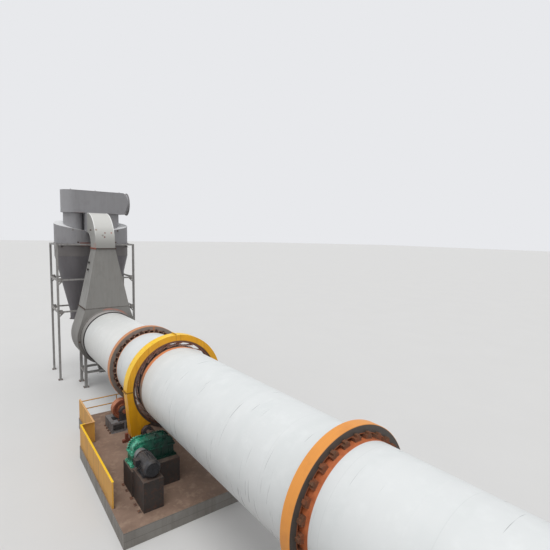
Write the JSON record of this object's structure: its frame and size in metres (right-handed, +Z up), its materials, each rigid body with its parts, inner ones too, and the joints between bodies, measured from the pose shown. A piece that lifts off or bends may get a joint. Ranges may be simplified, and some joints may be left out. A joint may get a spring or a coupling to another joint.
{
  "type": "rotary slag dryer",
  "caption": "Inclined rotary drum dryer on tyre and roller stations, driven by a guarded girth gear, with discharge hood, riser duct and twin cyclones on a steel tower.",
  "frame": {"origin": "on the ground under the drum axis, at the front plane of the gear guard", "axes": "+X level along the drum towards the feed end, +Z up"},
  "size_m": [33.09, 5.6, 11.9599],
  "materials": {
    "drum_paint": "smooth pale grey-green paint, scuffed",
    "tyre_steel": "machined steel, rusty on the rim",
    "pad_steel": "rusty steel",
    "gear_steel": "greased dark cast steel",
    "spring_steel": "rusty steel plate",
    "guard_yellow": "gloss yellow paint",
    "roller_steel": "rust-red steel",
    "bearing_paint": "dark grey paint",
    "base_grey": "grey paint, dusty",
    "gearbox_green": "green gloss paint",
    "motor_dark": "dark paint",
    "coupling_grey": "grey paint",
    "foundation_concrete": "dusty cast concrete",
    "fence_yellow": "yellow paint",
    "hood_grey": "warm grey paint, dusty",
    "duct_grey": "light grey paint",
    "cyclone_grey": "mid grey paint",
    "tower_grey": "grey paint"
  },
  "bodies": {
    "plant": {"pinion_bearings": "bearing_paint", "gear_guard_upper": "guard_yellow", "gear_guard_lower": "guard_yellow", "discharge_roller_bearings": "bearing_paint", "feed_roller_bearings": "bearing_paint", "discharge_roller_bases": "base_grey", "feed_roller_bases": "base_grey", "gearbox_housing": "gearbox_green", "gearbox_cover": "gearbox_green", "motor": "motor_dark", "motor_coupling": "coupling_grey", "drive_base": "base_grey", "drive_platform": "foundation_concrete", "feed_pedestal": "foundation_concrete", "fence_roller_side": "fence_yellow", "fence_drive_side": "fence_yellow", "fence_discharge_end": "fence_yellow", "discharge_hood": "hood_grey", "hood_collar": "hood_grey", "hood_chute": "hood_grey", "hood_legs": "tower_grey", "riser_duct": "duct_grey", "gooseneck_duct": "duct_grey", "cyclone_barrel_left": "cyclone_grey", "cyclone_barrel_right": "cyclone_grey", "cyclone_cones": "cyclone_grey", "cyclone_roofs": "cyclone_grey", "vortex_tubes": "cyclone_grey", "outlet_plenum": "cyclone_grey", "tower_frame": "tower_grey", "feed_hood": "hood_grey", "feed_collar": "hood_grey", "feed_hood_legs": "tower_grey"},
    "drum": {"drum_shell": "drum_paint", "discharge_tyre": "tyre_steel", "feed_tyre": "tyre_steel", "discharge_tyre_pads": "pad_steel", "feed_tyre_pads": "pad_steel", "girth_gear": "gear_steel", "gear_springs": "spring_steel"},
    "pinion": {"drive_pinion": "gear_steel"},
    "discharge_roller_near": {"discharge_roller_near": "roller_steel"},
    "discharge_roller_far": {"discharge_roller_far": "roller_steel"},
    "feed_roller_near": {"feed_roller_near": "roller_steel"},
    "feed_roller_far": {"feed_roller_far": "roller_steel"}
  },
  "joints": [
    {"name": "drum_spin", "type": "hinge", "parent": "plant", "child": "drum", "pos_m": [0, 0, 3.3], "axis": [0.9997, 0, 0.0252], "continuous": true},
    {"name": "pinion_spin", "type": "hinge", "parent": "plant", "child": "pinion", "pos_m": [-0.17638, -1.28558, 1.76299], "axis": [0.9997, 0, 0.0252], "continuous": true},
    {"name": "discharge_roller_near_spin", "type": "hinge", "parent": "plant", "child": "discharge_roller_near", "pos_m": [-3.289, -1.25487, 1.39078], "axis": [0.9997, 0, 0.0252], "continuous": true},
    {"name": "discharge_roller_far_spin", "type": "hinge", "parent": "plant", "child": "discharge_roller_far", "pos_m": [-3.289, 1.25487, 1.39078], "axis": [0.9997, 0, 0.0252], "continuous": true},
    {"name": "feed_roller_near_spin", "type": "hinge", "parent": "plant", "child": "feed_roller_near", "pos_m": [9.41598, -1.25487, 1.7106], "axis": [0.9997, 0, 0.0252], "continuous": true},
    {"name": "feed_roller_far_spin", "type": "hinge", "parent": "plant", "child": "feed_roller_far", "pos_m": [9.41598, 1.25487, 1.7106], "axis": [0.9997, 0, 0.0252], "continuous": true}
  ],
  "couplings": [
    {"joint": "pinion_spin", "follows": "drum_spin", "ratio": -9},
    {"joint": "discharge_roller_near_spin", "follows": "drum_spin", "ratio": -4.1512},
    {"joint": "discharge_roller_far_spin", "follows": "drum_spin", "ratio": -4.1512},
    {"joint": "feed_roller_near_spin", "follows": "drum_spin", "ratio": -4.1512},
    {"joint": "feed_roller_far_spin", "follows": "drum_spin", "ratio": -4.1512}
  ]
}
